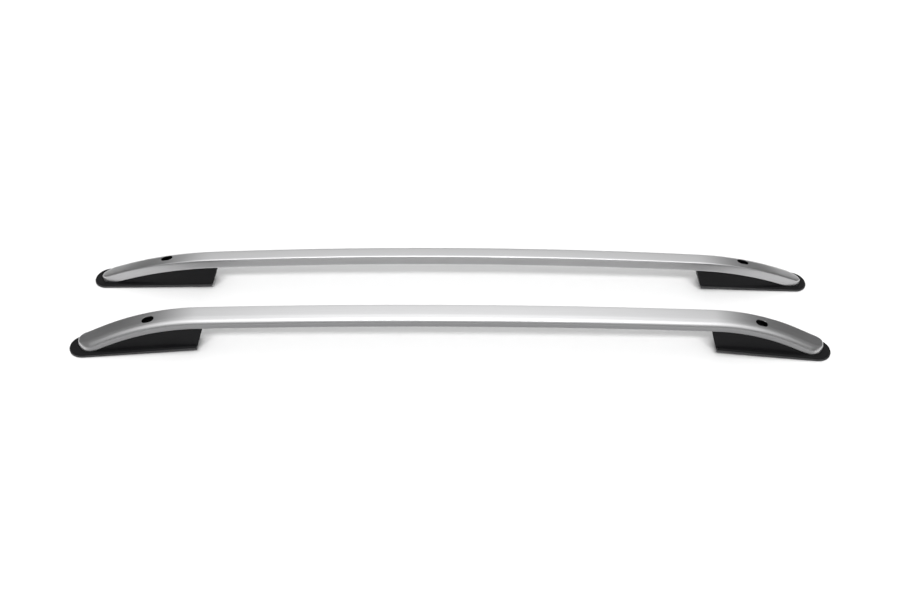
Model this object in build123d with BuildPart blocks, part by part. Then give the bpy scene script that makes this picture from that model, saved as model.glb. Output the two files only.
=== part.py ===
from build123d import *
import os
from math import cos, radians, sin, tan

# A pair of arched roof side rails. Each is one hollow aluminium extrusion, bent down to a nose at both
# ends and carried by two moulded feet. Millimetres, +X from the front noses to the rear noses, +Z up.
# The mid-plane between the rails is Y = 0 and the gasket tips stand on Z = 0. The left rail is at -Y,
# and the right one is its mirror image.

# Layout of the pair
overall_length = 1629.0
nose_offset = 119.0
bend_offset = 102.0
crown_offset = 108.5

# Centreline of the rail's underside: ramp, bend, long crown, bend, ramp
front_bend_reach = 175.0
rear_bend_reach = 165.5
front_bend_height = 57.8
rear_bend_height = 58.6
crown_height = 85.5
front_ramp_angle = 22.1
rear_ramp_angle = 23.3
ramp_toe = 7.0
ramp_drop = 70.0
front_bend_radius = 570.0
rear_bend_radius = 490.0
crown_straight = 18.0

# Section of the rail: flat inner side with a tight ridge, top falling to a broad outer shoulder
rail_width = 46.8
rail_height = 23.5
rail_wall = 2.5
top_fall = 3.0
top_crown = 0.8
shoulder_radius = 14.0
ridge_radius = 3.5
keel_radius = 3.0
nose_radius = 6.5
nose_outer_radius = 28.0
nose_inner_radius = 12.0
nose_margin = 0.12
nose_solid = 12.0

# Base of a foot: a tongue-shaped flange on a rubber gasket, its inner end raised off the floor
front_base_length = 274.0
rear_base_length = 249.0
front_base_tilt = 2.5
rear_base_tilt = 3.2
base_toe = 2.4
base_nose_width = 66.0
base_inner_width = 53.0
base_outer_radius = 34.0
base_inner_radius = 30.0
gasket_thickness = 4.0
gasket_lip = 1.5
gasket_rim = 5.0
flange_thickness = 4.0
flange_edge_radius = 1.8

# Walls of a foot: a hollow moulding that follows the rail's underside
foot_inset = 1.2
foot_lean = 5.0
foot_undercut = 21.0
foot_wall = 3.0
foot_roof = 3.0
rib_thickness = 2.4
first_bay = 106.0
bracket_bay_lead = 24.0
bracket_bay_run = 60.0
seat_gap = 0.2

# Access slots, clamp hardware and the screws that hold a foot to its rail
front_slot_reach = 178.5
rear_slot_reach = 161.5
slot_length = 27.0
slot_width = 18.0
bolt_radius = 3.0
bolt_hole_clearance = 0.3
bolt_head_radius = 5.0
bolt_head_height = 6.0
bolt_key_width = 5.0
bolt_key_depth = 3.0
bolt_tail = 2.0
washer_radius = 8.0
washer_thickness = 1.6
washer_gap = 0.05
nut_width = 10.0
nut_thickness = 5.0
thread_clearance = 0.05
bracket_thickness = 3.0
bracket_width = 24.0
bracket_leg = 28.0
bracket_toe = 30.0
bracket_web_run = 5.0
bracket_bend = 5.0
bracket_lift = 0.3
bracket_gap = 0.3
roof_hole_radius = 4.25
screw_radius = 2.1
screw_head_radius = 4.0
screw_head_height = 2.8
screw_length = 12.0
screw_clearance = 0.2
screw_gap = 0.05
front_screw_reaches = (122.0, 252.0)
rear_screw_reaches = (114.0, 233.0)

front_tip = -overall_length / 2
rear_tip = overall_length / 2
base_height = gasket_thickness + flange_thickness
cut_width = 2 * rail_width


# Centreline: the crown's arc takes up all the length between the two bends but a short straight run
def ramp_end(bend, direction, angle):
    """Far end of a ramp, carried down past the flange that trims it."""
    run = ramp_drop / tan(radians(angle))
    return bend + Vector(direction * run, -run * tan(radians(ramp_toe)), -ramp_drop)


front_bend = Vector(front_tip + front_bend_reach, -bend_offset, front_bend_height)
rear_bend = Vector(rear_tip - rear_bend_reach, -bend_offset, rear_bend_height)
crown = Vector(0, -crown_offset, crown_height)
front_end = ramp_end(front_bend, -1, front_ramp_angle)
rear_end = ramp_end(rear_bend, 1, rear_ramp_angle)


def corner_length(before, corner, after, radius):
    """Length that a tangent arc of this radius takes from each leg of a corner."""
    return radius * tan(radians((corner - before).get_angle(after - corner)) / 2)


front_leg = (crown - front_bend).length - corner_length(front_end, front_bend, crown, front_bend_radius)
rear_leg = (rear_bend - crown).length - corner_length(crown, rear_bend, rear_end, rear_bend_radius)
crown_radius = (min(front_leg, rear_leg) - crown_straight) / corner_length(front_bend, crown, rear_bend, 1)

with BuildLine() as rail_line:
    FilletPolyline(
        front_end, front_bend, crown, rear_bend, rear_end,
        radius=[front_bend_radius, crown_radius, rear_bend_radius],
    )
rail_path = rail_line.wire()


def rail_plane(x, inwards):
    """Plane on the rail's underside above X: local x along the rail, local z square to it and upwards."""
    low, high = 0.0, 1.0
    while high - low > 1e-9:
        middle = (low + high) / 2
        if rail_path.position_at(middle).X < x:
            low = middle
        else:
            high = middle
    # The direction across the rail is carried along the line without twist, as in the sweep
    across = Vector(0, 0, 1).cross(rail_path.tangent_at(0))
    steps = 500
    for step in range(steps + 1):
        along = rail_path.tangent_at(low * step / steps)
        across = (across - along * across.dot(along)).normalized()
    return Plane(origin=rail_path.position_at(low), x_dir=along * inwards, z_dir=along.cross(across))


section_start = rail_path.tangent_at(0)
section_plane = Plane(origin=front_end, x_dir=Vector(0, 0, 1).cross(section_start), z_dir=section_start)


def rail_section(sketch, inset):
    """Outline of the rail's section, or of its cavity at a wall's inset. Local +x is the inner side."""
    half = rail_width / 2 - inset
    fall = tan(radians(top_fall))
    inner_top = rail_height - inset * (1 + fall)
    outer_top = inner_top - 2 * half * fall
    with BuildLine() as outline:
        Polyline((half, inner_top), (half, inset), (-half, inset), (-half, outer_top))
        Bezier((-half, outer_top), (0, (inner_top + outer_top) / 2 + 2 * top_crown), (half, inner_top))
    make_face(outline.edges())
    least = 0.4
    fillet(sketch.vertices().group_by(Axis.Y)[0], max(keel_radius - inset, least))
    fillet(sketch.vertices().group_by(Axis.X)[-1].sort_by(Axis.Y)[-1], max(ridge_radius - inset, least))
    fillet(sketch.vertices().group_by(Axis.X)[0].sort_by(Axis.Y)[-1], max(shoulder_radius - inset, least))


def foot_section(inset, roof):
    """Leaning section of a foot's walls, below the rail's underside."""
    half = rail_width / 2 - foot_inset - inset
    top = -seat_gap - roof
    depth = crown_height
    spread = depth * tan(radians(foot_lean))
    with BuildLine() as outline:
        Polyline((half, top), (-half, top), (-half - spread, top - depth), (half - spread, top - depth), close=True)
    make_face(outline.edges())


class FootEnd:
    """One end of the left rail: the planes and the places that its foot and its hardware share."""

    def __init__(self, direction, tip, tilt, base_length, slot_reach, screw_reaches):
        toe = radians(base_toe)
        rise = radians(tilt)
        along = Vector(direction * cos(toe) * cos(rise), sin(toe) * cos(rise), sin(rise))
        across = Vector(-sin(toe), direction * cos(toe), 0)
        self.outer = -direction
        self.base_length = base_length
        self.sole = Plane(origin=(tip, -nose_offset, 0), x_dir=along, z_dir=along.cross(across))
        self.side = Plane(origin=self.sole.origin, x_dir=along, z_dir=-self.sole.y_dir)
        self.slot = rail_plane(tip + direction * slot_reach, direction)
        self.slot_side = Plane(origin=self.slot.origin, x_dir=self.slot.x_dir, z_dir=-self.slot.y_dir)
        self.screws = [rail_plane(tip + direction * reach, direction) for reach in screw_reaches]
        self.undercut = tan(radians(foot_undercut))
        self.bolt_reach = self.sole.to_local_coords(self.slot.origin).X


front = FootEnd(1, front_tip, front_base_tilt, front_base_length, front_slot_reach, front_screw_reaches)
rear = FootEnd(-1, rear_tip, rear_base_tilt, rear_base_length, rear_slot_reach, rear_screw_reaches)


def base_outline(sketch, end):
    """Plan of a base: a tongue whose nose is rounder on the rail's outer side, tapering to its inner end."""
    length = end.base_length
    nose = base_nose_width / 2
    inner = base_inner_width / 2
    with BuildLine() as outline:
        Polyline((0, -nose), (0, nose), (length, inner), (length, -inner), close=True)
    make_face(outline.edges())
    fillet(sketch.vertices().sort_by_distance((0, end.outer * nose))[0], base_outer_radius)
    fillet(sketch.vertices().sort_by_distance((0, -end.outer * nose))[0], base_inner_radius)


with BuildSketch() as outer_section:
    rail_section(outer_section, 0)
section_top = outer_section.sketch.bounding_box().max.Y


class Nose:
    """Rounded end of the rail: where its tip is, and all that is cut away below and outside it."""

    def __init__(self, end, rail_end, bend):
        up = end.sole.z_dir
        ramp = (bend - rail_end).normalized()
        ramp_up = ramp.cross(Vector(0, 0, 1).cross(ramp)).normalized()
        level = rail_end - up * end.sole.to_local_coords(rail_end).Z
        self.plan = Plane(origin=level, x_dir=up.cross(ramp).cross(up), z_dir=up)
        self.side = Plane(origin=level, x_dir=self.plan.x_dir, z_dir=-self.plan.y_dir)
        self.seat = base_height + seat_gap
        top = ramp_up * (section_top + nose_margin)
        low = self.side.to_local_coords(rail_end + top)
        high = self.side.to_local_coords(bend + top)
        slope = (high.Y - low.Y) / (high.X - low.X)
        reach = end.base_length + rail_width
        with BuildPart() as trim:
            with BuildSketch(self.side):
                with Locations((0, self.seat)):
                    Rectangle(2 * reach, 4 * rail_width)
            extrude(amount=cut_width, both=True)
            with BuildSketch(self.side) as kept:
                apex = low.X - (low.Y - self.seat) / slope
                with BuildLine():
                    Polyline(
                        (apex, self.seat), (2 * reach, self.seat),
                        (2 * reach, self.seat + slope * (2 * reach - apex)), close=True,
                    )
                make_face()
                fillet(kept.vertices().sort_by(Axis.X)[0], nose_radius)
            extrude(amount=2 * cut_width, both=True, mode=Mode.SUBTRACT)
            self.tip = kept.sketch_local.bounding_box().min.X
            corner_start = self.tip - nose_margin
            corner_stop = self.tip + 2 * nose_outer_radius
            corner_radii = [nose_outer_radius, nose_inner_radius]
            if end.outer > 0:
                corner_radii.reverse()
            half = rail_width / 2 + nose_margin
            with BuildSketch(self.plan):
                with BuildLine():
                    FilletPolyline(
                        (corner_stop, -half), (corner_start, -half), (corner_start, half), (corner_stop, half),
                        radius=corner_radii,
                    )
                    Polyline(
                        (corner_stop, half), (corner_stop, cut_width), (corner_start - cut_width, cut_width),
                        (corner_start - cut_width, -cut_width), (corner_stop, -cut_width), (corner_stop, -half),
                    )
                make_face()
            extrude(amount=4 * rail_width)
        self.trim = trim.part


front_nose = Nose(front, front_end, front_bend)
rear_nose = Nose(rear, rear_end, rear_bend)

# Hollow of the extrusion, stopped short of the two closed noses, with the slot above and the holes for
# the clamp bolt and the foot's screws below at each end
with BuildPart() as rail_hollow:
    with BuildSketch(section_plane) as hollow_section:
        rail_section(hollow_section, rail_wall)
    sweep(path=rail_path)
    for nose in (front_nose, rear_nose):
        with BuildSketch(nose.side):
            with Locations((nose.tip + nose_solid, 0)):
                Rectangle(4 * rail_width, 8 * rail_width, align=(Align.MAX, Align.CENTER))
        extrude(amount=cut_width, both=True, mode=Mode.SUBTRACT)
    for end in (front, rear):
        with BuildSketch(end.slot.offset(rail_height / 2)):
            SlotOverall(slot_length, slot_width)
        extrude(amount=rail_height)
        with BuildSketch(end.slot.offset(-rail_wall)):
            Circle(bolt_radius + bolt_hole_clearance)
        extrude(amount=3 * rail_wall)
        for screw_plane in end.screws:
            with BuildSketch(screw_plane.offset(-rail_wall)):
                Circle(screw_radius + screw_clearance)
            extrude(amount=3 * rail_wall)

# Rail: one bent extrusion
with BuildPart() as left_rail:
    with BuildSketch(section_plane):
        add(outer_section.sketch)
    sweep(path=rail_path)
    for nose in (front_nose, rear_nose):
        add(nose.trim, mode=Mode.SUBTRACT)
    add(rail_hollow.part, mode=Mode.SUBTRACT)

# Bodies that the feet are cut from: the walls' outside and their inside, along the whole rail
with BuildPart() as foot_stock:
    with BuildSketch(section_plane):
        foot_section(0, 0)
    sweep(path=rail_path)

with BuildPart() as foot_hollow:
    with BuildSketch(section_plane):
        foot_section(foot_wall, foot_roof)
    sweep(path=rail_path)


def foot_slice(stock, end, start, stop, floor):
    """Part of a swept body between two places along a sole, with the foot's undercut at its inner end."""
    high = 2 * crown_height
    with BuildPart() as piece:
        add(stock)
        with BuildSketch(end.side):
            with BuildLine():
                Polyline(
                    (start, floor), (stop + floor * end.undercut, floor),
                    (stop + high * end.undercut, high), (start, high), close=True,
                )
            make_face()
        extrude(amount=cut_width, both=True, mode=Mode.INTERSECT)
    return piece.part


def make_foot(end):
    """Moulded foot: flange, walls up to the rail, and three bays parted by cross ribs."""
    bracket_bay = end.bolt_reach - bracket_bay_lead
    end_bay = end.bolt_reach + bracket_bay_run
    bays = (
        (first_bay, bracket_bay - rib_thickness),
        (bracket_bay, end_bay),
        (end_bay + rib_thickness, end.base_length - foot_wall / cos(radians(foot_undercut))),
    )
    with BuildPart() as foot:
        with BuildSketch(end.sole.offset(gasket_thickness)) as plate:
            base_outline(plate, end)
            offset(amount=-gasket_lip)
        extrude(amount=flange_thickness)
        fillet(foot.faces().sort_by(Axis(end.sole.origin, end.sole.z_dir))[-1].edges(), flange_edge_radius)
        add(foot_slice(foot_stock.part, end, 0, end.base_length, gasket_thickness + flange_thickness / 2))
        for start, stop in bays:
            add(foot_slice(foot_hollow.part, end, start, stop, 0), mode=Mode.SUBTRACT)
        for plane, radius in [(end.slot, bolt_radius + bolt_hole_clearance)] + [
            (screw_plane, screw_radius + screw_clearance) for screw_plane in end.screws
        ]:
            with BuildSketch(plane):
                Circle(radius)
            extrude(amount=-2 * foot_roof, mode=Mode.SUBTRACT)
    return foot.part


def make_gasket(end):
    """Flat rubber gasket with one opening, round the bays and the bracket's toe."""
    opening_length = end.base_length - gasket_rim - first_bay
    with BuildPart() as gasket:
        with BuildSketch(end.sole) as pad:
            base_outline(pad, end)
            with Locations((first_bay + opening_length / 2, 0)):
                Rectangle(opening_length, base_inner_width - 2 * gasket_rim, mode=Mode.SUBTRACT)
        extrude(amount=gasket_thickness)
    return gasket.part


# Depth of the bracket's upper leg below the rail's underside
leg_depth = seat_gap + foot_roof + bracket_gap
nut_depth = leg_depth + bracket_thickness


def make_bracket(end):
    """Folded strip: an upper leg under the foot's roof, a web, and a toe with the hole for a roof bolt."""
    middle = leg_depth + bracket_thickness / 2
    toe_middle = bracket_lift + bracket_thickness / 2
    heel = end.sole.to_local_coords(end.slot_side.from_local_coords((bracket_leg / 2, -middle, 0)))
    knee = Vector(heel.X + bracket_web_run, heel.Y, toe_middle)
    toe = knee + Vector(bracket_toe, 0, 0)
    hole = knee + Vector((bracket_toe + bracket_bend) / 2, 0, 0)
    knee_side, toe_side = [end.slot_side.to_local_coords(end.sole.from_local_coords(p)) for p in (knee, toe)]
    hole_plane = Plane(origin=end.sole.from_local_coords(hole), x_dir=end.sole.x_dir, z_dir=end.sole.z_dir)
    with BuildPart() as bracket:
        with BuildSketch(end.slot_side):
            with BuildLine():
                FilletPolyline(
                    (-bracket_leg / 2, -middle), (bracket_leg / 2, -middle),
                    (knee_side.X, knee_side.Y), (toe_side.X, toe_side.Y), radius=bracket_bend,
                )
            trace(line_width=bracket_thickness)
        extrude(amount=bracket_width / 2, both=True)
        with BuildSketch(end.slot.offset(-leg_depth)):
            Circle(bolt_radius + bolt_hole_clearance)
        extrude(amount=-bracket_thickness, mode=Mode.SUBTRACT)
        with BuildSketch(hole_plane):
            Circle(roof_hole_radius)
        extrude(amount=bracket_thickness, both=True, mode=Mode.SUBTRACT)
    return bracket.part


def make_clamp_bolt(end):
    """Socket-head bolt, let in through the slot above: its head rests on the washer inside the rail."""
    seat = rail_wall + washer_gap + washer_thickness
    head = end.slot.offset(seat)
    shank = seat + nut_depth + nut_thickness + bolt_tail
    with BuildPart() as bolt:
        with BuildSketch(head):
            Circle(bolt_head_radius)
        extrude(amount=bolt_head_height)
        with BuildSketch(head.offset(bolt_head_height)):
            RegularPolygon(bolt_key_width / 2, 6, major_radius=False)
        extrude(amount=-bolt_key_depth, mode=Mode.SUBTRACT)
        with BuildSketch(head):
            Circle(bolt_radius)
        extrude(amount=-shank)
    return bolt.part


def make_clamp_washer(end):
    """Wide washer on the rail's lower wall."""
    with BuildPart() as washer:
        with BuildSketch(end.slot.offset(rail_wall + washer_gap)):
            Circle(washer_radius)
            Circle(bolt_radius + bolt_hole_clearance, mode=Mode.SUBTRACT)
        extrude(amount=washer_thickness)
    return washer.part


def make_clamp_nut(end):
    """Hexagon nut under the bracket's upper leg."""
    with BuildPart() as nut:
        with BuildSketch(end.slot.offset(-nut_depth)):
            RegularPolygon(nut_width / 2, 6, major_radius=False)
            Circle(bolt_radius + thread_clearance, mode=Mode.SUBTRACT)
        extrude(amount=-nut_thickness)
    return nut.part


def make_foot_screws(end):
    """Two screws from inside the foot, through its roof and into the rail's lower wall."""
    with BuildPart() as screws:
        for screw_plane in end.screws:
            seat = screw_plane.offset(-seat_gap - foot_roof - screw_gap)
            with BuildSketch(seat):
                Circle(screw_head_radius)
            extrude(amount=-screw_head_height)
            with BuildSketch(seat):
                Circle(screw_radius)
            extrude(amount=screw_length)
    return screws.part


left_pieces = {"rail": left_rail.part}
for place, end in (("front", front), ("rear", rear)):
    left_pieces[place + "_foot"] = make_foot(end)
    left_pieces[place + "_gasket"] = make_gasket(end)
    left_pieces[place + "_bracket"] = make_bracket(end)
    left_pieces[place + "_clamp_bolt"] = make_clamp_bolt(end)
    left_pieces[place + "_clamp_washer"] = make_clamp_washer(end)
    left_pieces[place + "_clamp_nut"] = make_clamp_nut(end)
    left_pieces[place + "_foot_screws"] = make_foot_screws(end)

# The right-hand rail with all its pieces is the mirror image of the left-hand one
os.makedirs("parts", exist_ok=True)
for name, piece in left_pieces.items():
    with BuildPart() as right_piece:
        mirror(piece, about=Plane.XZ)
    piece.label = "left_" + name
    right_piece.part.label = "right_" + name
    export_step(piece, "parts/left_" + name + ".step")
    export_step(right_piece.part, "parts/right_" + name + ".step")
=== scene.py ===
import math

import bmesh
import bpy
import numpy
from mathutils import Matrix, Vector


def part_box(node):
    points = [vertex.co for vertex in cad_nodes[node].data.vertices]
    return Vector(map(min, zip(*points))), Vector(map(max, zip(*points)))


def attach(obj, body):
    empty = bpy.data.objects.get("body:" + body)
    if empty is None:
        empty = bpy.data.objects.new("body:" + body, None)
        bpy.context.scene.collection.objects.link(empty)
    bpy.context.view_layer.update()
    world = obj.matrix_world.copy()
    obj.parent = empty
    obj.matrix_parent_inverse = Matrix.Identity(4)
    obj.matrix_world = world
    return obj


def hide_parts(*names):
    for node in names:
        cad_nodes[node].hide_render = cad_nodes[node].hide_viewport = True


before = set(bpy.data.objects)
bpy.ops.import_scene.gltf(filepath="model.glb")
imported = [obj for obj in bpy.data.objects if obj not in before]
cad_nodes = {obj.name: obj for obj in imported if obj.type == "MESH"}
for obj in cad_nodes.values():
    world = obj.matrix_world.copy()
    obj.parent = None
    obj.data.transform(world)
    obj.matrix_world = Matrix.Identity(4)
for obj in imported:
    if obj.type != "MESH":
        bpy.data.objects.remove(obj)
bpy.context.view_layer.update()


# Gaskets: flat black rubber pads, stamped from sheet, that lie between each foot and the roof.
# They stand a little proud of the foot all round, and their cut edge is dull.

foot_places = [side + "_" + end for side in ("left", "right") for end in ("front", "rear")]
rubber_black = (0.026, 0.026, 0.027)
rubber_bloomed = (0.044, 0.044, 0.045)
rubber_roughness = 0.62
bloom_roughness = 0.2


class Value:
    """One socket of a material. Arithmetic on it adds Math nodes, and node() adds a node of any other kind."""

    def __init__(self, socket):
        self.socket = socket

    def node(self, kind, settings, sockets, output=0):
        tree = self.socket.id_data
        made = tree.nodes.new(kind)
        for name, setting in settings.items():
            if name == "stops":
                ramp = made.color_ramp.elements
                while len(ramp) < len(setting):
                    ramp.new(1.0)
                for stop, (position, colour) in zip(ramp, setting):
                    stop.position = position
                    stop.color = colour
            else:
                setattr(made, name, setting)
        for name, given in sockets.items():
            if isinstance(given, Value):
                tree.links.new(given.socket, made.inputs[name])
            else:
                made.inputs[name].default_value = given
        return Value(made.outputs[output])

    def feed(self, socket):
        self.socket.id_data.links.new(self.socket, socket)

    def math(self, operation, first, second):
        return self.node("ShaderNodeMath", {"operation": operation}, {0: first, 1: second})

    def __add__(self, other):
        return self.math("ADD", self, other)

    def __mul__(self, other):
        return self.math("MULTIPLY", self, other)

    __radd__ = __add__
    __rmul__ = __mul__


def start_finish(name, **constants):
    """A new material, its shader with these constant sockets, and the place on the surface in metres."""
    material = bpy.data.materials.new(name)
    material.use_nodes = True
    shader = material.node_tree.nodes["Principled BSDF"]
    for socket, constant in constants.items():
        shader.inputs[socket.replace("_", " ").title().replace("Ior", "IOR")].default_value = constant
    place = Value(material.node_tree.nodes.new("ShaderNodeTexCoord").outputs["Object"])
    return material, shader, place


def noise(place, scale, detail, roughness=0.5):
    return place.node(
        "ShaderNodeTexNoise", {},
        {"Vector": place, "Scale": scale, "Detail": detail, "Roughness": roughness},
    )


def tint(mask, first, second):
    """Colour that goes from the first, or from another tint, to the second with the mask."""
    start = first if isinstance(first, Value) else (*first, 1.0)
    return mask.node(
        "ShaderNodeMix", {"data_type": "RGBA"}, {"Factor": mask, 6: start, 7: (*second, 1.0)}, output=2
    )


def relief(height, distance, strength):
    return height.node("ShaderNodeBump", {}, {"Height": height, "Distance": distance, "Strength": strength})


def dress(node, finish):
    """Gives a CAD node its finish."""
    for slot in cad_nodes[node].material_slots:
        slot.material = finish


gasket_rubber, shader, place = start_finish("gasket rubber", specular_ior_level=0.25)
bloom = noise(place, scale=60.0, detail=4.0)
grain = noise(place, scale=2400.0, detail=2.0)
tint(bloom, rubber_black, rubber_bloomed).feed(shader.inputs["Base Color"])
(rubber_roughness + bloom_roughness * bloom).feed(shader.inputs["Roughness"])
relief(grain, distance=0.0002, strength=0.5).feed(shader.inputs["Normal"])
for foot_place in foot_places:
    dress(foot_place + "_gasket", gasket_rubber)


# Feet: one black moulding each, of glass-filled plastic, hollow from below. A fine spark-eroded grain
# covers the outside, and the flange round the base is the moulding's parting line.

plastic_black = (0.0045, 0.0045, 0.005)
plastic_greyed = (0.008, 0.008, 0.0085)
plastic_roughness = 0.42
patch_roughness = 0.12
grain_roughness = 0.08
foot_plastic, shader, place = start_finish("foot plastic", specular_ior_level=0.1)
patches = noise(place, scale=35.0, detail=3.0)
grain = noise(place, scale=1500.0, detail=3.0, roughness=0.6)
tint(patches, plastic_black, plastic_greyed).feed(shader.inputs["Base Color"])
(plastic_roughness + patch_roughness * patches + grain_roughness * grain).feed(shader.inputs["Roughness"])
relief(grain, distance=0.00015, strength=0.35).feed(shader.inputs["Normal"])
for foot_place in foot_places:
    dress(foot_place + "_foot", foot_plastic)


# Clamp hardware in each foot: a folded steel bracket, a socket-head bolt with its washer and nut, and
# two screws, all zinc plated, with the cloudy sheen of passivated zinc.

zinc_shade = (0.52, 0.52, 0.50)
zinc_bright = (0.66, 0.66, 0.66)
zinc_roughness = 0.26
cloud_roughness = 0.22
zinc_steel, shader, place = start_finish("zinc-plated steel", metallic=1.0)
cloud = noise(place, scale=120.0, detail=5.0)
tint(cloud, zinc_shade, zinc_bright).feed(shader.inputs["Base Color"])
(zinc_roughness + cloud_roughness * cloud).feed(shader.inputs["Roughness"])
plating = noise(place, scale=900.0, detail=3.0)
relief(plating, distance=0.0001, strength=0.25).feed(shader.inputs["Normal"])
for foot_place in foot_places:
    for piece in ("bracket", "clamp_bolt", "clamp_washer", "clamp_nut", "foot_screws"):
        dress(foot_place + "_" + piece, zinc_steel)


# Rails: two hollow aluminium extrusions, bent over a former and ground to a rounded nose at both ends,
# each with two slots punched in its top, to reach the clamp bolts. The tops are brushed lengthwise, then all
# is anodised silver. The flanks carry a painted shade of darker grey, and the hollow and slot walls a painted
# shade of near black.

# Route of the bent bar
half_length = 0.8145
nose_offset = 0.119
bend_offset = 0.102
crown_at = Vector((0.0, -0.1085, 0.0855))
crown_straight = 0.018
ramp_toe = math.radians(7.0)
ramp_drop = 0.07
base_toe = math.radians(2.4)
bend_steps = 48
crown_steps = 48

# Section of the extrusion
rail_width = 0.0468
rail_height = 0.0235
rail_wall = 0.0025
top_fall = math.tan(math.radians(3.0))
top_crown = 0.0005
ridge_radius = 0.0035
ridge_segments = 8
keel_radius = 0.003
keel_segments = 5
shoulder_radius = 0.0172
shoulder_segments = 16
least_radius = 0.0004
flat_length = 0.012
flat_cuts = 5

# Noses, and the hollow behind them
nose_seat = 0.0082
nose_radius = 0.0065
nose_edge = 0.00015
nose_outer_radius = 0.0300
nose_inner_radius = 0.0160
nose_stations = 16
nose_reach = 0.12
hollow_start = 0.075
cut_tolerance = 1e-7
plane_tolerance = 1e-6

# Access slots and bolt holes
slot_length = 0.027
slot_width = 0.018
slot_chamfer = 0.0003
slot_segments = 40
bolt_hole_radius = 0.0033
bolt_hole_segments = 24
washer_rise = 0.00085


class RailEnd:
    """One end of the left rail: its ramp, the bend above it, and the plane that its nose rests on."""

    def __init__(self, name, direction, bend_reach, bend_height, ramp_angle, bend_radius, tilt):
        self.name = name
        self.direction = direction
        self.bend_radius = bend_radius
        self.bend = Vector((direction * (bend_reach - half_length), -bend_offset, bend_height))
        run = ramp_drop / math.tan(math.radians(ramp_angle))
        self.end = self.bend - Vector((direction * run, run * math.tan(ramp_toe), ramp_drop))
        self.ramp = (self.bend - self.end).normalized()
        rise = math.radians(tilt)
        along = Vector((direction * math.cos(base_toe), math.sin(base_toe), math.tan(rise))).normalized()
        self.up = along.cross(Vector((-math.sin(base_toe), direction * math.cos(base_toe), 0.0)))
        self.inwards = (self.ramp - self.up * self.ramp.dot(self.up)).normalized()
        self.sideways = self.up.cross(self.inwards) * direction
        self.sole = Vector((-direction * half_length, -nose_offset, 0.0))
        self.seat = self.sole + self.up * nose_seat

    def reach(self, point):
        return (point - self.seat).dot(self.inwards)


front = RailEnd(
    "front", 1, bend_reach=0.175, bend_height=0.0578, ramp_angle=22.1, bend_radius=0.570, tilt=2.5
)
rear = RailEnd(
    "rear", -1, bend_reach=0.1655, bend_height=0.0586, ramp_angle=23.3, bend_radius=0.490, tilt=3.2
)


def corner_length(before, corner, after):
    """Length that a tangent arc of unit radius takes from each leg of a corner."""
    return math.tan((corner - before).angle(after - corner) / 2)


front_leg, rear_leg = [
    (crown_at - end.bend).length - end.bend_radius * corner_length(end.end, end.bend, crown_at)
    for end in (front, rear)
]
crown_radius = (min(front_leg, rear_leg) - crown_straight) / corner_length(front.bend, crown_at, rear.bend)
rail_route = [front.end, front.bend, crown_at, rear.bend, rear.end]
rail_bends = [(front.bend_radius, bend_steps), (crown_radius, crown_steps), (rear.bend_radius, bend_steps)]


def rail_section(mesh, inset):
    """Outline of the section, or of the hollow at a wall's inset, set up at the front end of the route."""
    half = rail_width / 2 - inset
    inner_top = rail_height - inset * (1 + top_fall)
    outer_top = inner_top - 2 * half * top_fall
    corners = [
        mesh.verts.new((x, y, 0.0))
        for x, y in ((half, inner_top), (half, inset), (-half, inset), (-half, outer_top))
    ]
    mesh.faces.new(corners)
    keel = (keel_radius, keel_segments)
    rounding = ((ridge_radius, ridge_segments), keel, keel, (shoulder_radius, shoulder_segments))
    for corner, (radius, segments) in zip(corners, rounding):
        bmesh.ops.bevel(
            mesh, geom=[corner], offset=max(radius - inset, least_radius), segments=segments, profile=0.5,
            affect="VERTICES", material=-1,
        )
    for edge in [e for e in mesh.edges if e.calc_length() > flat_length]:
        bmesh.ops.subdivide_edges(mesh, edges=[edge], cuts=flat_cuts)
    for vert in mesh.verts:
        if vert.co.y > rail_height / 2:
            vert.co.y += top_crown * (1 - (vert.co.x / half) ** 2)
    bmesh.ops.delete(mesh, geom=mesh.faces[:], context="FACES_ONLY")
    top = max(vert.co.y for vert in mesh.verts)
    across = Vector((0.0, 0.0, 1.0)).cross(front.ramp).normalized()
    axes = Matrix((across, front.ramp.cross(across), front.ramp)).transposed().to_4x4()
    bmesh.ops.transform(mesh, matrix=Matrix.Translation(front.end) @ axes, verts=mesh.verts)
    return mesh.edges[:], top


def only(kind, geometry):
    return [item for item in geometry if isinstance(item, kind)]


def run_on(mesh, edges, way):
    """Draws a loop of edges out along a straight run."""
    drawn = bmesh.ops.extrude_edge_only(mesh, edges=edges)["geom"]
    verts = only(bmesh.types.BMVert, drawn)
    bmesh.ops.translate(mesh, vec=way, verts=verts)
    ends = set(verts)
    return [edge for edge in only(bmesh.types.BMEdge, drawn) if ends.issuperset(edge.verts)]


def draw_along(mesh, edges, route, bends):
    """Carries a section along straight runs joined by tangent bends."""
    start = route[0]
    direction = (route[1] - start).normalized()
    for corner, after, (radius, steps) in zip(route[1:], route[2:], bends):
        onwards = (after - corner).normalized()
        tangent = radius * math.tan(direction.angle(onwards) / 2)
        bend_start = corner - direction * tangent
        edges = run_on(mesh, edges, bend_start - start)
        axis = direction.cross(onwards).normalized()
        turned = bmesh.ops.spin(
            mesh, geom=edges + list({vert for edge in edges for vert in edge.verts}),
            cent=bend_start + axis.cross(direction) * radius, axis=axis, angle=direction.angle(onwards),
            steps=steps, use_merge=False, use_duplicate=False,
        )["geom_last"]
        edges = only(bmesh.types.BMEdge, turned)
        start = corner + onwards * tangent
        direction = onwards
    run_on(mesh, edges, route[-1] - start)


def near_end(mesh, end):
    """Everything of a mesh that lies in the reach of one nose."""
    faces = [face for face in mesh.faces if all(end.reach(vert.co) < nose_reach for vert in face.verts)]
    edges = {edge for face in faces for edge in face.edges}
    verts = {vert for edge in edges for vert in edge.verts}
    return list(verts) + list(edges) + faces


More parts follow.
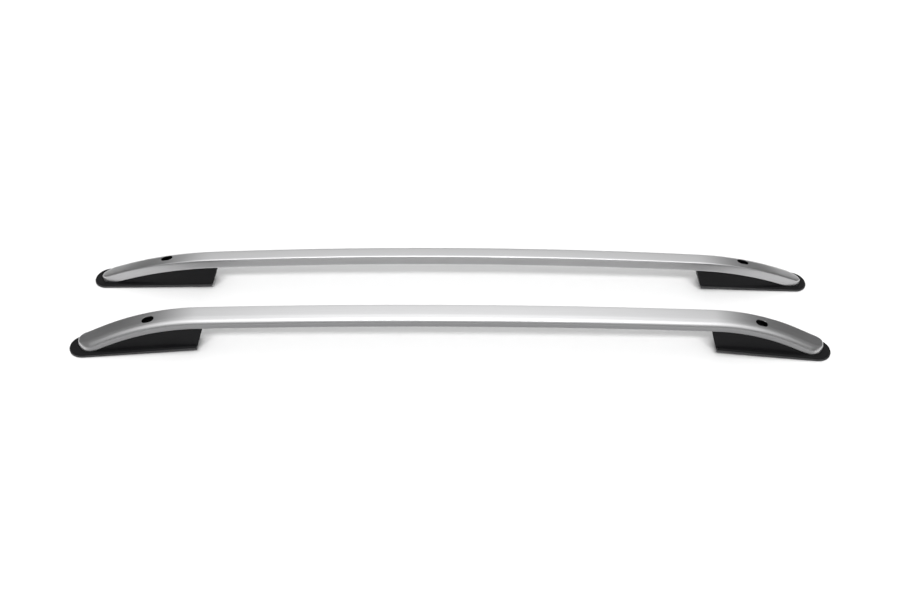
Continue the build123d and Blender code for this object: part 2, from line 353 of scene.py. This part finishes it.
def cut(mesh, end, point, normal, clear):
    """Cuts an end at a plane. If clear, what lies on the normal's side goes and the opening is closed."""
    bmesh.ops.bisect_plane(
        mesh, geom=near_end(mesh, end), dist=cut_tolerance, plane_co=point, plane_no=normal, clear_outer=clear
    )
    if clear:
        opening = [
            edge for edge in mesh.edges
            if edge.is_boundary and abs((edge.verts[0].co - point).dot(normal)) < plane_tolerance
        ]
        bmesh.ops.holes_fill(mesh, edges=opening, sides=0)


def round_part(distance, radius):
    """Half-chord of a circle at this distance in from its edge."""
    return math.sqrt(max(radius ** 2 - max(radius - distance, 0.0) ** 2, nose_edge ** 2))


def shape_nose(mesh, end, section_top):
    """Cuts the ramp off at its seat and works it to a rounded nose, swept back on the outer side."""
    across = Vector((0.0, 0.0, 1.0)).cross(end.ramp).normalized()
    lift = end.ramp.cross(across) * section_top
    slope = end.ramp.dot(end.up) / end.ramp.dot(end.inwards)
    low = end.end + lift
    apex = end.reach(low) - (low - end.seat).dot(end.up) / slope
    tip = apex + nose_radius / math.tan(math.atan(slope) / 2) - nose_radius
    middle = (end.end - end.seat).dot(end.sideways)
    half = rail_width / 2
    cut(mesh, end, end.seat + end.inwards * tip, -end.inwards, True)
    cut(mesh, end, end.seat, -end.up, True)
    for station in range(1, nose_stations + 1):
        share = 1 - math.cos(math.pi / 2 * station / nose_stations)
        cut(mesh, end, end.seat + end.inwards * (tip + nose_outer_radius * share), -end.inwards, False)
    blend = nose_radius * (1 - math.sin(math.atan(slope)))
    for vert in mesh.verts:
        spot = vert.co - end.seat
        in_from_tip = spot.dot(end.inwards) - tip
        if in_from_tip > nose_outer_radius:
            continue
        aside = spot.dot(end.sideways) - middle
        height = spot.dot(end.up)
        inner = half - nose_inner_radius + round_part(in_from_tip, nose_inner_radius)
        outer = half - nose_outer_radius + round_part(in_from_tip, nose_outer_radius)
        full = slope * (in_from_tip + tip - apex)
        floor_line = nose_radius - round_part(in_from_tip, nose_radius)
        roof_line = nose_radius + round_part(in_from_tip, nose_radius) if in_from_tip < blend else full
        new_aside = (aside + half) / rail_width * (inner + outer) - outer
        new_height = floor_line + height * (roof_line - floor_line) / full
        vert.co += end.sideways * (new_aside - aside) + end.up * (new_height - height)


def keep_mesh(mesh, name):
    data = bpy.data.meshes.new(name)
    mesh.to_mesh(data)
    mesh.free()
    return data


def add_piece(name, data):
    piece = bpy.data.objects.new(name, data)
    bpy.context.scene.collection.objects.link(piece)
    return piece


bar = bmesh.new()
section_edges, section_top = rail_section(bar, 0.0)
section_size = len(bar.verts)
draw_along(bar, section_edges, rail_route, rail_bends)
bar_verts = [vert.co.copy() for vert in bar.verts]
centre_line = [
    sum(bar_verts[first:first + section_size], Vector()) / section_size
    for first in range(0, len(bar_verts), section_size)
]
for end in (front, rear):
    shape_nose(bar, end, section_top)
bmesh.ops.recalc_face_normals(bar, faces=bar.faces)

hollow = bmesh.new()
hollow_edges = rail_section(hollow, rail_wall)[0]
draw_along(hollow, hollow_edges, rail_route, rail_bends)
for end in (front, rear):
    cut(hollow, end, end.seat + end.inwards * hollow_start, -end.inwards, True)
bmesh.ops.recalc_face_normals(hollow, faces=hollow.faces)
bmesh.ops.reverse_faces(hollow, faces=hollow.faces)
bar.from_mesh(keep_mesh(hollow, "rail hollow"))
left_rail = add_piece("left_rail_skin", keep_mesh(bar, "left rail"))

# The access slots and the clamp bolts' holes go through the top and the bottom wall, on the bolts' axes.
# A slot's punch starts half-way up the hollow, flares from the chamfer's foot and runs out above the top.
slot_straight = (slot_length - slot_width) / 2
slot_floor = rail_height / 2
slot_flare = 3 * slot_chamfer
rail_surface = rail_height - rail_width / 2 * top_fall + top_crown
slot_levels = ((rail_surface - slot_chamfer - slot_floor, 0.0), (slot_flare, slot_flare))
top_slant = Matrix.Identity(4)
top_slant[2][1] = top_fall
punch = bmesh.new()
for end in (front, rear):
    washer, nut = [
        sum(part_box("left_" + end.name + "_clamp_" + part), Vector()) / 2 for part in ("washer", "nut")
    ]
    axis = (washer - nut).normalized()
    along = Vector((math.cos(ramp_toe / 2), end.direction * math.sin(ramp_toe / 2), 0.0))
    along = (along - axis * along.dot(axis)).normalized()
    stand = Matrix((along, axis.cross(along), axis)).transposed().to_4x4()
    stand = Matrix.Translation(washer - axis * (rail_wall + washer_rise)) @ stand
    ring = bmesh.ops.create_circle(
        punch, cap_ends=True, segments=slot_segments, radius=slot_width / 2
    )["verts"]
    bmesh.ops.rotate(punch, verts=ring, matrix=Matrix.Rotation(math.pi / slot_segments, 3, "Z"))
    for vert in ring:
        vert.co.x += math.copysign(slot_straight, vert.co.x)
        vert.co.z = slot_floor
    floor_face = ring[0].link_faces[0]
    face = floor_face
    slot_verts = list(ring)
    for rise, flare in slot_levels:
        grown = bmesh.ops.extrude_face_region(punch, geom=[face])["geom"]
        if face is not floor_face:
            bmesh.ops.delete(punch, geom=[face], context="FACES_ONLY")
        rim = only(bmesh.types.BMVert, grown)
        bmesh.ops.translate(punch, vec=(0.0, 0.0, rise), verts=rim)
        for vert in rim:
            spread = Vector((vert.co.x - math.copysign(slot_straight, vert.co.x), vert.co.y, 0.0))
            vert.co += spread.normalized() * flare
        face = only(bmesh.types.BMFace, grown)[0]
        slot_verts += rim
    bmesh.ops.transform(punch, matrix=stand @ top_slant, verts=slot_verts)
    bmesh.ops.create_cone(
        punch, cap_ends=True, segments=bolt_hole_segments, radius1=bolt_hole_radius, radius2=bolt_hole_radius,
        depth=3 * rail_wall, matrix=stand,
    )
bmesh.ops.recalc_face_normals(punch, faces=punch.faces)
punches = add_piece("punches", keep_mesh(punch, "punches"))
punching = left_rail.modifiers.new("punching", "BOOLEAN")
punching.object = punches
punching.solver = "EXACT"
bpy.context.view_layer.update()
punched = bpy.data.meshes.new_from_object(left_rail.evaluated_get(bpy.context.evaluated_depsgraph_get()))
left_rail.modifiers.clear()
left_rail.data = punched
bpy.data.objects.remove(punches)

mirror_image = bmesh.new()
mirror_image.from_mesh(left_rail.data)
bmesh.ops.scale(mirror_image, vec=(1.0, -1.0, 1.0), verts=mirror_image.verts)
bmesh.ops.reverse_faces(mirror_image, faces=mirror_image.faces)
right_rail = add_piece("right_rail_skin", keep_mesh(mirror_image, "right rail"))

# The finish: streaks a hundred times as long as wide on the skin, painted shade in a darker grey on the
# flanks, and painted shade of near black inside
brush_scale = (7.0, 700.0, 700.0)
brushed_shade = (0.50, 0.50, 0.505)
brushed_bright = (0.60, 0.60, 0.605)
# Painted shade on the flanks: a darker grey that takes over where the surface faces sideways
flank_shade_grey = (0.25, 0.25, 0.255)
# Painted shade inside: near black in the hollow and on the slot walls
inside_shade_grey = (0.04, 0.04, 0.042)
rail_roughness = 0.24
streak_roughness = 0.1
haze_roughness = 0.05
inside_roughness = 0.3
rail_aluminium, shader, place = start_finish("anodised aluminium", metallic=1.0)
flow = place.node("ShaderNodeAttribute", {"attribute_name": "flow"}, {}, output="Vector")
inside = place.node("ShaderNodeAttribute", {"attribute_name": "inside"}, {}, output="Fac")
flank = place.node("ShaderNodeAttribute", {"attribute_name": "flank"}, {}, output="Fac")
drawn_out = flow.node("ShaderNodeMapping", {}, {"Vector": flow, "Scale": brush_scale})
streaks = noise(drawn_out, scale=1.0, detail=4.0, roughness=0.65)
haze = noise(place, scale=9.0, detail=3.0)
brushed = tint(streaks, brushed_shade, brushed_bright)
# The flanks are painted a darker grey, as shade
skin = tint(flank, brushed, flank_shade_grey)
# The hollow and the slot walls are painted near black, as shade
tint(inside, skin, inside_shade_grey).feed(shader.inputs["Base Color"])
(
    rail_roughness + streak_roughness * streaks + haze_roughness * haze + inside_roughness * inside
).feed(shader.inputs["Roughness"])
relief(streaks, distance=0.00003, strength=0.3).feed(shader.inputs["Normal"])

# The finish follows the bent bar: each point is known by its place across the section and along the bar
crease_angle = math.radians(28.0)
outline_facets = 1441
solid_length = 0.125
inside_sharpness = 3.0
flank_shade_start = 0.82
flank_shade_full = 0.97
inner_flank_shade = 0.35
line_x, line_y, line_z = numpy.array(centre_line).T
line_slope = numpy.gradient(line_z, line_x)
crown_ring = numpy.abs(line_x).argmin()
outline = numpy.array(bar_verts[crown_ring * section_size:(crown_ring + 1) * section_size])
outline = outline[:, 1:] - outline[:, 1:].mean(axis=0)


def finish_rail(piece, node):
    """Smooth shading between crisp edges, the masks that the finish reads (brushing flow, painted shade on the
    flanks and inside), and the finish itself.
    """
    data = piece.data
    points = numpy.empty(3 * len(data.vertices))
    data.vertices.foreach_get("co", points)
    x, y, z = points.reshape(-1, 3).T
    side = numpy.sign(y.mean())
    across = numpy.sign(line_y.mean()) * side * y - numpy.interp(x, line_x, line_y)
    upright = numpy.cos(numpy.arctan(numpy.interp(x, line_x, line_slope)))
    flow = numpy.stack([x, across, upright * (z - numpy.interp(x, line_x, line_z))], axis=1)
    data.attributes.new("flow", "FLOAT_VECTOR", "POINT").data.foreach_set("vector", flow.ravel())
    depth = numpy.full(len(x), rail_wall)
    for angle in numpy.linspace(0.0, 2 * math.pi, outline_facets):
        way = numpy.array([math.cos(angle), math.sin(angle)])
        depth = numpy.minimum(depth, (outline @ way).max() - flow[:, 1:] @ way)
    depth[numpy.abs(x) > half_length - solid_length] = 0.0
    # Painted shade inside: none on the skin and the slots' chamfers, full from 0.3 mm in under the outline,
    # none in the solid noses
    inside = numpy.clip(1.0 + inside_sharpness * (depth / slot_chamfer - 1.0), 0.0, 1.0)
    data.attributes.new("inside", "FLOAT", "POINT").data.foreach_set("value", inside)
    normals = numpy.empty(3 * len(data.vertices))
    data.vertices.foreach_get("normal", normals)
    # Painted shade on the flanks: none to full as the normal turns to face straight sideways, about a third as
    # much on the inner flank
    outwards = normals[1::3] * side
    flank = numpy.clip((numpy.abs(outwards) - flank_shade_start) / (flank_shade_full - flank_shade_start), 0.0, 1.0)
    flank[outwards < 0.0] *= inner_flank_shade
    data.attributes.new("flank", "FLOAT", "POINT").data.foreach_set("value", flank)
    data.shade_smooth()
    data.set_sharp_from_angle(angle=crease_angle)
    data.materials.clear()
    data.materials.append(rail_aluminium)
    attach(piece, "root")
    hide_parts(node)


finish_rail(left_rail, "left_rail")
finish_rail(right_rail, "right_rail")


# Floor: one plain white sheet under the rails, matt all over. It is so large that it runs to the horizon
# and no edge of it shows from any side.

floor_span = 2000.0
floor_grey = (0.79, 0.79, 0.79, 1.0)
sheet = bmesh.new()
bmesh.ops.create_grid(sheet, x_segments=1, y_segments=1, size=floor_span / 2)
floor = add_piece("floor", keep_mesh(sheet, "floor"))
floor_white = start_finish("floor white", base_color=floor_grey, roughness=0.9, specular_ior_level=0.0)[0]
floor.data.materials.append(floor_white)


# Light: a studio whose ceiling is bright above the rails and falls off to the ends and low at the back,
# with a wide pale panel in front and a pale rim at the horizon. A row of soft lamps high in front throws
# one soft shadow backwards, and only its middle lamp shows in the metal.

world = bpy.data.worlds.new("studio")
bpy.context.scene.world = world
world.use_nodes = True
backdrop = world.node_tree.nodes["Background"]
outlook = Value(world.node_tree.nodes.new("ShaderNodeTexCoord").outputs["Generated"])
endwards, backwards, upwards = [
    outlook.node("ShaderNodeSeparateXYZ", {}, {"Vector": outlook}, output=axis) for axis in "XYZ"
]
turn = outlook.math("ARCTAN2", upwards, backwards) * (1 / math.pi)
spread = endwards.math("ABSOLUTE", endwards, 0.0)


def panel(levels):
    """Brightness by the angle from the back over the top to the front, in degrees."""
    stops = [(angle / 180.0, (level, level, level, 1.0)) for angle, level in levels]
    return turn.node("ShaderNodeValToRGB", {"stops": stops}, {"Fac": turn})


def fade(value, start, end, last):
    """Falls smoothly from one at the start to the last value at the end."""
    return value.node(
        "ShaderNodeMapRange", {"interpolation_type": "SMOOTHSTEP"},
        {0: value, 1: start, 2: end, 3: 1.0, 4: last},
    )


ceiling = panel((
    (8, 0.17), (22, 0.95), (34, 1.2), (45, 1.25), (53, 1.5),
    (60, 1.8), (96, 1.8), (116, 1.1), (140, 0.4), (180, 0.27),
))
front_panel = panel(((100, 0.0), (116, 1.1), (140, 1.1), (156, 0.1), (180, 0.0)))
ceiling_ends = fade(spread, start=0.21, end=0.49, last=0.14)
panel_ends = fade(spread, start=0.35, end=0.75, last=0.1)
horizon = fade(upwards, start=0.06, end=0.12, last=0.0)
(ceiling * ceiling_ends + front_panel * panel_ends + horizon).feed(backdrop.inputs["Color"])

lamp_height = math.radians(49.0)
lamp_spread = math.radians(9.0)
lamp_strength = 0.47
lamp_swings = (-12, -6, 0, 6, 12)
for swing in lamp_swings:
    lamp = bpy.data.lights.new("soft lamp", "SUN")
    lamp.angle = lamp_spread
    lamp.energy = lamp_strength
    holder = bpy.data.objects.new("soft lamp", lamp)
    slant = Matrix.Rotation(math.pi / 2 - lamp_height, 4, "X")
    holder.matrix_world = slant @ Matrix.Rotation(math.radians(swing), 4, "Y")
    holder.visible_glossy = swing == 0
    bpy.context.scene.collection.objects.link(holder)


# Camera: in front of the left rail and about 40 degrees above the floor, as in the photograph.
# Its place, tilt and lens were fitted to the edges of both rails.

camera_place = Vector((-0.0027, -1.9520, 1.6559))
camera_drop = math.radians(39.910)
camera_yaw = math.radians(0.642)
camera_roll = math.radians(0.728)
picture_width = 920
focal_pixels = 1151.3
lens = bpy.data.cameras.new("camera")
lens.sensor_fit = "HORIZONTAL"
lens.sensor_width = 36.0
lens.lens = lens.sensor_width * focal_pixels / picture_width
camera = bpy.data.objects.new("camera", lens)
level = math.cos(camera_drop)
forward = Vector((math.sin(camera_yaw) * level, math.cos(camera_yaw) * level, -math.sin(camera_drop)))
sideways = forward.cross(Vector((0.0, 0.0, 1.0))).normalized()
camera_axes = Matrix((sideways, sideways.cross(forward), -forward)).transposed().to_4x4()
camera_turn = camera_axes @ Matrix.Rotation(camera_roll, 4, "Z")
camera.matrix_world = Matrix.Translation(camera_place) @ camera_turn
bpy.context.scene.collection.objects.link(camera)
bpy.context.scene.camera = camera
bpy.context.scene.view_settings.view_transform = "Standard"
